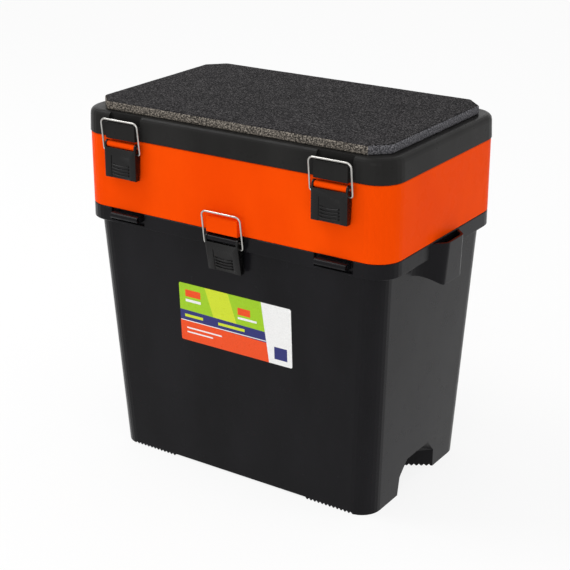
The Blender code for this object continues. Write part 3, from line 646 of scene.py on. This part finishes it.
@dataclass
class FrontLabel:
    """Printed film on the tub's front, with plain colour panels and nothing written on it."""

    left: float = -0.068
    foot: float = 0.152
    thickness: float = 0.00018
    wall_foot: float = 0.1001
    wall_slope: float = 0.0131 / 0.2728
    corner: float = 0.0020
    corner_steps: int = 5
    ink_depth: float = 0.00005

    def points(self) -> dict[str, tuple[float, float]]:
        """Corners of the panels.

        Returns:
            Each corner by name, in millimetres from the label's lower left corner.
        """
        return {
            "foot_left": (0.0, 0.0), "foot_split": (114.0, 0.0), "foot_right": (143.0, 0.0),
            "top_right": (143.0, 67.0), "top_split": (106.0, 67.0), "top_left": (0.0, 67.0),
            "red_left": (0.0, 24.0), "red_right": (111.4, 22.0),
            "navy_left": (0.0, 36.0), "navy_right": (109.9, 34.0),
            "lime_foot_left": (44.0, 35.2), "lime_foot_right": (74.0, 34.65),
            "lime_top_left": (34.0, 67.0), "lime_top_right": (64.0, 67.0),
        }

    def panels(self) -> list[tuple[Ink, tuple[str, ...]]]:
        """Plain panels that cover the whole label.

        Returns:
            Each panel's ink and corners, counter-clockwise as seen from the front.
        """
        return [
            (Ink.VERMILION, ("foot_left", "foot_split", "red_right", "red_left")),
            (Ink.NAVY, ("red_left", "red_right", "navy_right", "lime_foot_right", "lime_foot_left", "navy_left")),
            (Ink.LEAF, ("navy_left", "lime_foot_left", "lime_top_left", "top_left")),
            (Ink.LIME, ("lime_foot_left", "lime_foot_right", "lime_top_right", "lime_top_left")),
            (Ink.LEAF, ("lime_foot_right", "navy_right", "top_split", "lime_top_right")),
            (Ink.WHITE, ("foot_split", "foot_right", "top_right", "top_split", "navy_right", "red_right")),
        ]

    def blocks(self) -> list[tuple[Ink, tuple[float, float, float, float]]]:
        """Small plain blocks printed over the panels.

        Returns:
            Each block's ink, and its left side, foot, width and height in millimetres.
        """
        return [
            (Ink.WHITE, (0.8, 23.2, 110.0, 0.9)),
            (Ink.WHITE, (8.0, 46.0, 20.0, 3.0)), (Ink.VERMILION, (8.0, 52.0, 20.0, 8.0)),
            (Ink.VERMILION, (76.0, 46.0, 16.0, 8.0)), (Ink.WHITE, (76.0, 41.0, 24.0, 2.4)),
            (Ink.NAVY, (121.0, 6.0, 16.0, 14.0)), (Ink.LIME, (6.0, 28.0, 24.0, 3.2)),
            (Ink.LIME, (50.0, 27.6, 34.0, 3.2)), (Ink.WHITE, (8.0, 14.5, 46.0, 1.6)),
            (Ink.WHITE, (8.0, 9.5, 34.0, 1.6)),
        ]

    def print_blocks(self, shape: bmesh.types.BMesh, inks: Sequence[Ink]) -> None:
        """Lay the small blocks on the film, each as a thin closed plate.

        Args:
            shape: Mesh of the label.
            inks: Order of the inks in the label's slots.
        """
        for ink, (left, foot, width, height) in self.blocks():
            spots = [(left, foot), (left + width, foot), (left + width, foot + height), (left, foot + height)]
            front, back = ([shape.verts.new(self.on_wall(x / MM_PER_M, y / MM_PER_M, self.thickness + depth))
                            for x, y in spots] for depth in (self.ink_depth, -self.ink_depth))
            faces = [shape.faces.new(front), shape.faces.new(list(reversed(back)))]
            for index in range(4):
                after = (index + 1) % 4
                faces.append(shape.faces.new((front[after], front[index], back[index], back[after])))
            for face in faces:
                face.material_index = inks.index(ink)

    def on_wall(self, across: float, up: float, proud: float) -> Vector:
        """Place of a label point on the leaning wall.

        Args:
            across: Distance from the label's left side.
            up: Distance from its lower side.
            proud: Distance in front of the wall.

        Returns:
            The point.
        """
        height = self.foot + up
        return Vector((self.left + across, -(self.wall_foot + self.wall_slope * height + proud), height))

    def rounded(self, name: str, point: tuple[float, float]) -> list[tuple[float, float]]:
        """A label corner as an arc, or any other point as it is.

        Args:
            name: Name of the point.
            point: The point in metres.

        Returns:
            The points that stand for it, counter-clockwise.
        """
        turns = {"foot_left": (1, 1, 180), "foot_right": (-1, 1, 270), "top_right": (-1, -1, 0),
                 "top_left": (1, -1, 90)}
        if name not in turns:
            return [point]
        side_x, side_y, start = turns[name]
        centre = (point[0] + side_x * self.corner, point[1] + side_y * self.corner)
        return arc(centre, self.corner, start, start + 90, self.corner_steps)

    def build(self) -> bpy.types.Object:
        """Make the label as one closed thin sheet with a slot for each ink.

        Returns:
            The label.
        """
        inks = list(Ink)
        shape = bmesh.new()
        made: dict[tuple[float, float], bmesh.types.BMVert] = {}
        corners = {name: (x / MM_PER_M, y / MM_PER_M) for name, (x, y) in self.points().items()}
        for ink, names in self.panels():
            loop = []
            for name in names:
                for spot in self.rounded(name, corners[name]):
                    key = (round(spot[0], 7), round(spot[1], 7))
                    if key not in made:
                        made[key] = shape.verts.new(self.on_wall(*spot, self.thickness))
                    loop.append(made[key])
            face = shape.faces.new(loop)
            face.material_index = inks.index(ink)
        front = list(shape.faces)
        solid = bmesh.ops.extrude_face_region(shape, geom=front, use_keep_orig=True)
        back = [item for item in solid["geom"] if isinstance(item, bmesh.types.BMVert)]
        bmesh.ops.translate(shape, verts=back, vec=(0, self.thickness, 0))
        self.print_blocks(shape, inks)
        bmesh.ops.recalc_face_normals(shape, faces=shape.faces)
        finishes = [PrintedFilm("film_" + ink.name.lower(), ink.value).material() for ink in inks]
        label = mesh_piece("front_label", shape, finishes)
        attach(label, "tub_body")
        return label


@dataclass
class LeverCap:
    """Latch lever with broken edges, which stands for the CAD lever."""

    side: str
    edge: float = 0.00035
    steps: int = 2
    limit: float = math.radians(32)
    flat: float = math.radians(1)
    same_place: float = 2e-6

    def build(self, finish: bpy.types.Material) -> bpy.types.Object:
        """Copy the CAD lever, break its edges and dress it.

        Args:
            finish: Material of the lever.

        Returns:
            The lever.
        """
        node = self.side + "_lever"
        shape = bmesh.new()
        shape.from_mesh(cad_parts[node].data)
        bmesh.ops.remove_doubles(shape, verts=shape.verts, dist=self.same_place)
        bmesh.ops.dissolve_limit(shape, angle_limit=self.flat, verts=shape.verts, edges=shape.edges)
        blank = mesh_piece(node + "_blank", shape, (finish,))
        blank.data.shade_smooth()
        bevel = blank.modifiers.new("broken_edges", "BEVEL")
        bevel.width = self.edge
        bevel.segments = self.steps
        bevel.limit_method = "ANGLE"
        bevel.angle_limit = self.limit
        bevel.harden_normals = True
        lever = plain_copy(node + "_moulding", blank)
        bpy.data.objects.remove(blank)
        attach(lever, node + "_body")
        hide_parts(node)
        return lever


@dataclass
class LeverGrips:
    """Half-round ribs, sagging in the middle, that a finger finds on a lever's lower half."""

    side: str
    centre_x: float
    pin_z: float
    tilt: float
    pin_y: float = -0.1224
    face_out: float = 0.0045
    lowest: float = -0.03215
    half: float = 0.0108
    sag: float = 0.0012
    count: int = 4
    pitch: float = 0.0034
    radius: float = 0.00075
    steps: int = 16
    ring_points: int = 12

    def path(self) -> bpy.types.Mesh:
        """Draw the lowest rib, with the lever's pin at the origin.

        Returns:
            Its centre line.
        """
        spots = []
        for step in range(self.steps + 1):
            share = 2 * step / self.steps - 1
            spots.append((self.half * share, -self.face_out, self.lowest + self.sag * share * share))
        line = bpy.data.meshes.new(self.side + "_grip_path")
        line.from_pydata(spots, [(index, index + 1) for index in range(self.steps)], [])
        return line

    def build(self, finish: bpy.types.Material) -> bpy.types.Object:
        """Repeat the rib up the lever and sweep it.

        Args:
            finish: Material of the lever.

        Returns:
            The ribs.
        """
        recipe = Recipe(self.side + "_grip_ribs", {"Rib Pitch": self.pitch, "Rib Radius": self.radius})
        step = recipe.node("ShaderNodeCombineXYZ", {"Z": recipe.size("Rib Pitch")})
        column = recipe.node("GeometryNodeMeshLine", {"Count": self.count, "Offset": step.outputs["Vector"]})
        laid = recipe.node("GeometryNodeInstanceOnPoints", {"Points": column.outputs["Mesh"],
                                                            "Instance": recipe.start.outputs["Geometry"]})
        real = recipe.node("GeometryNodeRealizeInstances", {"Geometry": laid.outputs["Instances"]})
        swept = recipe.sweep(real.outputs["Geometry"], "Rib Radius", self.ring_points)
        ribs = recipe.grow(self.side + "_lever_grips", self.path(), swept, finish)
        ribs.data.transform(Matrix.Translation((self.centre_x, self.pin_y, self.pin_z))
                            @ Matrix.Rotation(self.tilt, 4, "X"))
        ribs.data.set_sharp_from_angle(angle=ROUND_ANGLE)
        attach(ribs, self.side + "_lever_body")
        return ribs


@dataclass
class WireBail:
    """Bent wire of one latch, swept along the CAD bail's own centre line."""

    side: str
    centre_x: float
    pivot_y: float
    pivot_z: float
    lean: float
    length: float
    radius: float = 0.0010
    half_width: float = 0.0240
    end_x: float = 0.0178
    foot_bend: float = 0.0026
    top_bend: float = 0.0055
    bend_steps: int = 10
    ring_points: int = 20

    def route(self) -> list[Vector]:
        """Bend the wire from one end in its cheek, over the bar, to the other end.

        Returns:
            The points of its centre line.
        """
        foot, top = self.foot_bend, self.top_bend
        half = [(self.end_x, 0.0)]
        half += arc((self.half_width - foot, foot), foot, -90, 0, self.bend_steps)
        half += arc((self.half_width - top, self.length - top), top, 0, 90, self.bend_steps)
        whole = half + [(-x, z) for x, z in reversed(half)]
        sine, cosine = math.sin(self.lean), math.cos(self.lean)
        return [Vector((self.centre_x + x, self.pivot_y - z * sine, self.pivot_z + z * cosine)) for x, z in whole]

    def build(self, finish: bpy.types.Material) -> bpy.types.Object:
        """Sweep the wire and let it stand for the CAD bail.

        Args:
            finish: Material of the wire.

        Returns:
            The bail.
        """
        path = bpy.data.meshes.new(self.side + "_bail_route")
        route = self.route()
        path.from_pydata(route, [(index, index + 1) for index in range(len(route) - 1)], [])
        recipe = Recipe(self.side + "_bail_sweep", {"Wire Radius": self.radius})
        swept = recipe.sweep(recipe.start.outputs["Geometry"], "Wire Radius", self.ring_points)
        bail = recipe.grow(self.side + "_bail_wire", path, swept, finish)
        bail.data.set_sharp_from_angle(angle=ROUND_ANGLE)
        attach(bail, self.side + "_bail_body")
        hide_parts(self.side + "_bail")
        return bail


@dataclass
class KeeperTeeth:
    """Row of fine slanted ribs on the top of one keeper's lip."""

    side: str
    centre_x: float
    top_z: float
    body: str
    front_y: float = -0.1252
    back_y: float = -0.1226
    half: float = 0.0193
    pitch: float = 0.00175
    rib_width: float = 0.0007
    rib_height: float = 0.0003
    rib_share: float = 0.9
    slant: float = math.radians(28)

    def build(self, finish: bpy.types.Material) -> bpy.types.Object:
        """Lay the ribs along the lip.

        Args:
            finish: Material of the keeper.

        Returns:
            The row of ribs.
        """
        count = int(2 * (self.half - self.pitch) / self.pitch)
        middle_y = (self.front_y + self.back_y) / 2
        start = self.centre_x - self.pitch * (count - 1) / 2
        spots = [(start + self.pitch * index, middle_y, self.top_z) for index in range(count)]
        row = bpy.data.meshes.new(self.side + "_keeper_spots")
        row.from_pydata(spots, [], [])
        sizes = {"Rib Width": self.rib_width, "Rib Length": (self.back_y - self.front_y) * self.rib_share,
                 "Rib Height": self.rib_height}
        recipe = Recipe(self.side + "_keeper_ribs", sizes)
        size = recipe.node("ShaderNodeCombineXYZ", {"X": recipe.size("Rib Width"), "Y": recipe.size("Rib Length"),
                                                    "Z": recipe.size("Rib Height")})
        rib = recipe.node("GeometryNodeMeshCube", {"Size": size.outputs["Vector"]})
        laid = recipe.node("GeometryNodeInstanceOnPoints",
                           {"Points": recipe.start.outputs["Geometry"], "Instance": rib.outputs["Mesh"],
                            "Rotation": (0.0, 0.0, self.slant)})
        ribs = recipe.grow(self.side + "_keeper_ribs", row, laid.outputs["Instances"], finish)
        ribs.data.set_sharp_from_angle(angle=CRISP_ANGLE)
        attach(ribs, self.body)
        return ribs


@dataclass
class MouldMarks:
    """Shallow round marks that the mould's ejector pins leave on a hidden flat face."""

    name: str
    body: str
    height: float
    spots: tuple[tuple[float, float], ...]
    radius: float = 0.0040
    rise: float = 0.00025
    sides: int = 24

    def build(self, finish: bpy.types.Material) -> bpy.types.Object:
        """Lay one low disc at each spot.

        Args:
            finish: Material of the face that they lie on.

        Returns:
            The marks.
        """
        base = bpy.data.meshes.new(self.name + "_spots")
        base.from_pydata([(x, y, self.height) for x, y in self.spots], [], [])
        recipe = Recipe(self.name + "_discs", {"Disc Radius": self.radius, "Disc Depth": 2 * self.rise})
        disc = recipe.node("GeometryNodeMeshCylinder",
                           {"Vertices": self.sides, "Radius": recipe.size("Disc Radius"),
                            "Depth": recipe.size("Disc Depth")})
        laid = recipe.node("GeometryNodeInstanceOnPoints",
                           {"Points": recipe.start.outputs["Geometry"], "Instance": disc.outputs["Mesh"]})
        marks = recipe.grow(self.name, base, laid.outputs["Instances"], finish)
        marks.data.set_sharp_from_angle(angle=CRISP_ANGLE)
        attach(marks, self.body)
        return marks


@dataclass
class Latch:
    """One draw latch: lever, wire and the ribs on its keeper."""

    side: str
    centre_x: float
    pivot_y: float
    pivot_z: float
    lean: float
    wire_length: float
    pin_z: float
    tilt: float
    keeper_top: float
    keeper_body: str

    def build(self, finishes: dict[str, bpy.types.Material]) -> list[bpy.types.Object]:
        """Make the latch's pieces.

        Args:
            finishes: The finishes by short name.

        Returns:
            The pieces.
        """
        lever = LeverCap(self.side)
        grips = LeverGrips(self.side, self.centre_x, self.pin_z, self.tilt)
        wire = WireBail(self.side, self.centre_x, self.pivot_y, self.pivot_z, self.lean, self.wire_length)
        teeth = KeeperTeeth(self.side, self.centre_x, self.keeper_top, self.keeper_body)
        keeper = finishes["orange" if self.keeper_body == "tray_body" else "lid"]
        return [lever.build(finishes["lever"]), grips.build(finishes["lever"]), wire.build(finishes["steel"]),
                teeth.build(keeper)]


LATCHES = (
    Latch("left", centre_x=-0.129, pivot_y=-0.1230, pivot_z=0.3550, lean=math.radians(6.2), wire_length=0.0348,
          pin_z=0.3623, tilt=0.0, keeper_top=0.38629, keeper_body="lid_body"),
    Latch("right", centre_x=0.129, pivot_y=-0.1230, pivot_z=0.3550, lean=math.radians(6.2), wire_length=0.0348,
          pin_z=0.3623, tilt=0.0, keeper_top=0.38629, keeper_body="lid_body"),
    Latch("center", centre_x=0.0, pivot_y=-0.12166, pivot_z=0.27561, lean=math.radians(8.1), wire_length=0.0366,
          pin_z=0.2829, tilt=math.radians(10.5), keeper_top=0.30672, keeper_body="tray_body"),
)


@dataclass
class Shell:
    """The three moulded shells and the pins, repainted, with their mould marks."""

    def paint(self) -> dict[str, bpy.types.Material]:
        """Give the CAD nodes their finishes.

        Returns:
            The finishes by short name.
        """
        finishes = {"tub": BLACK_TUB.material(), "lid": BLACK_LID.material(), "orange": ORANGE.material(),
                    "lever": BLACK_LEVER.material(), "steel": STEEL.material()}
        repaint("lower_tub", finishes["tub"])
        repaint("middle_tray", finishes["orange"])
        repaint("lid", finishes["lid"])
        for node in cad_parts:
            if "_pin" in node:
                repaint(node, finishes["steel"])
        return finishes

    def marks(self, finishes: dict[str, bpy.types.Material]) -> list[bpy.types.Object]:
        """Lay the mould marks on the faces that only show when the box is open or turned over.

        Args:
            finishes: The finishes by short name.

        Returns:
            The marks.
        """
        tub = tuple((x, y) for x in (-0.11, 0.0, 0.11) for y in (-0.06, 0.06))
        lid = tuple((x, y) for x in (-0.152, -0.076, 0.0, 0.076, 0.152) for y in (-0.075, 0.0, 0.075))
        tray = tuple((x, y) for x in (-0.14, -0.047, 0.047, 0.14) for y in (-0.07, 0.07))
        return [
            MouldMarks("tub_floor_marks", "tub_body", 0.0060, tub).build(finishes["tub"]),
            MouldMarks("lid_inner_marks", "lid_body", 0.3914, lid, radius=0.003).build(finishes["lid"]),
            MouldMarks("tray_floor_marks", "tray_body", TRAY_FLOOR_Z, tray, radius=0.003).build(finishes["orange"]),
        ]


# Studio


@dataclass(frozen=True)
class SoftBox:
    """Rectangular lamp that points at the middle of the seat box."""

    name: str
    place: Point
    width: float
    height: float
    power: float

    def build(self, target: Point) -> bpy.types.Object:
        """Set up the lamp.

        Args:
            target: Point that it faces.

        Returns:
            The lamp.
        """
        data = bpy.data.lights.new(self.name, "AREA")
        data.shape = "RECTANGLE"
        data.size, data.size_y = self.width, self.height
        data.energy = self.power
        lamp = bpy.data.objects.new(self.name, data)
        bpy.context.scene.collection.objects.link(lamp)
        lamp.location = self.place
        lamp.rotation_euler = (Vector(self.place) - Vector(target)).to_track_quat("Z", "Y").to_euler()
        return lamp


@dataclass
class Studio:
    """Pale floor, soft lamps, white background and the photograph's camera."""

    target: Point = (-0.0057, 0.0, 0.2194)
    turn: float = math.radians(33.644)
    tilt: float = math.radians(20.392)
    distance: float = 1.5705
    focal_pixels: float = 1422.5
    centre_pixel: tuple[float, float] = (284.5, 261.8)
    clip: tuple[float, float] = (0.05, 40.0)
    floor_half: float = 9.0
    floor_tone: float = 0.94
    floor_glow: float = 0.86
    soft_strength: float = 0.74
    white_strength: float = 1.0
    boxes: tuple[SoftBox, ...] = (
        SoftBox("front_soft_box", (0.5, -2.2, 0.8), 1.2, 0.9, 8.0),
        SoftBox("top_soft_box", (-1.1, -0.45, 1.9), 0.9, 0.9, 16.0),
        SoftBox("right_soft_box", (2.0, 0.9, 0.9), 1.2, 1.4, 4.0),
    )

    def camera(self) -> bpy.types.Object:
        """Place the camera that the photograph was measured with.

        Returns:
            The camera.
        """
        data = bpy.data.cameras.new("photo_camera")
        data.sensor_width = SENSOR_WIDTH
        data.sensor_fit = "HORIZONTAL"
        data.lens = SENSOR_WIDTH * self.focal_pixels / IMAGE_SIZE
        data.shift_x = (IMAGE_SIZE / 2 - 0.5 - self.centre_pixel[0]) / IMAGE_SIZE
        data.shift_y = (self.centre_pixel[1] - IMAGE_SIZE / 2 + 0.5) / IMAGE_SIZE
        data.clip_start, data.clip_end = self.clip
        back = Vector((math.sin(self.turn) * math.cos(self.tilt), -math.cos(self.turn) * math.cos(self.tilt),
                       math.sin(self.tilt)))
        camera = bpy.data.objects.new("photo_camera", data)
        bpy.context.scene.collection.objects.link(camera)
        camera.location = Vector(self.target) + self.distance * back
        camera.rotation_euler = back.to_track_quat("Z", "Y").to_euler()
        bpy.context.scene.camera = camera
        return camera

    def seen(self, tree: bpy.types.NodeTree) -> bpy.types.NodeSocket:
        """Value that is 1 where a camera, mirror or glass ray sees the background.

        Args:
            tree: Node tree to add it to.

        Returns:
            The value socket.
        """
        path = tree.nodes.new("ShaderNodeLightPath")
        total = path.outputs["Is Camera Ray"]
        for name in ("Is Glossy Ray", "Is Transmission Ray"):
            most = tree.nodes.new("ShaderNodeMath")
            most.operation = "MAXIMUM"
            tree.links.new(total, most.inputs[0])
            tree.links.new(path.outputs[name], most.inputs[1])
            total = most.outputs["Value"]
        return total

    def floor(self) -> bpy.types.Object:
        """Lay a plain pale floor that keeps the box's shadow.

        Returns:
            The floor.
        """
        shape = bmesh.new()
        half = self.floor_half
        shape.faces.new([shape.verts.new(spot) for spot in
                         ((-half, -half, 0), (half, -half, 0), (half, half, 0), (-half, half, 0))])
        tree = Wiring("pale_floor")
        matt = tree.node("ShaderNodeBsdfDiffuse", {"Color": (self.floor_tone,) * 3 + (1.0,)})
        glow = tree.node("ShaderNodeEmission", {"Color": WHITE_LIGHT, "Strength": self.white_strength})
        share = tree.node("ShaderNodeMath", {0: self.seen(tree.tree), 1: self.floor_glow}, operation="MULTIPLY")
        both = tree.node("ShaderNodeMixShader", {0: share.outputs["Value"], 1: matt.outputs["BSDF"],
                                                 2: glow.outputs["Emission"]})
        tree.tree.links.new(both.outputs["Shader"], tree.output.inputs["Surface"])
        floor = mesh_piece("studio_floor", shape, (tree.material,))
        return floor

    def world(self) -> None:
        """White background, with a softer plain light from all round."""
        world = bpy.data.worlds.new("white_studio")
        world.use_nodes = True
        tree = world.node_tree
        tree.nodes.clear()
        both = tree.nodes.new("ShaderNodeMixShader")
        tree.links.new(self.seen(tree), both.inputs[0])
        for slot, strength in enumerate((self.soft_strength, self.white_strength), 1):
            light = tree.nodes.new("ShaderNodeBackground")
            light.inputs["Color"].default_value = WHITE_LIGHT
            light.inputs["Strength"].default_value = strength
            tree.links.new(light.outputs["Background"], both.inputs[slot])
        end = tree.nodes.new("ShaderNodeOutputWorld")
        tree.links.new(both.outputs["Shader"], end.inputs["Surface"])
        bpy.context.scene.world = world

    def build(self) -> None:
        """Set up the whole studio."""
        self.camera()
        self.floor()
        self.world()
        for box in self.boxes:
            box.build(self.target)
        bpy.context.scene.view_settings.view_transform = "Standard"


def main() -> None:
    """Build the looks piece by piece."""
    logging.basicConfig(level=logging.INFO, format="%(name)s: %(message)s")
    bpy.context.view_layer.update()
    shell = Shell()
    finishes = shell.paint()
    SeatPad().build()
    FrontLabel().build()
    for latch in LATCHES:
        latch.build(finishes)
    shell.marks(finishes)
    Studio().build()


if __name__ == "__main__":
    main()
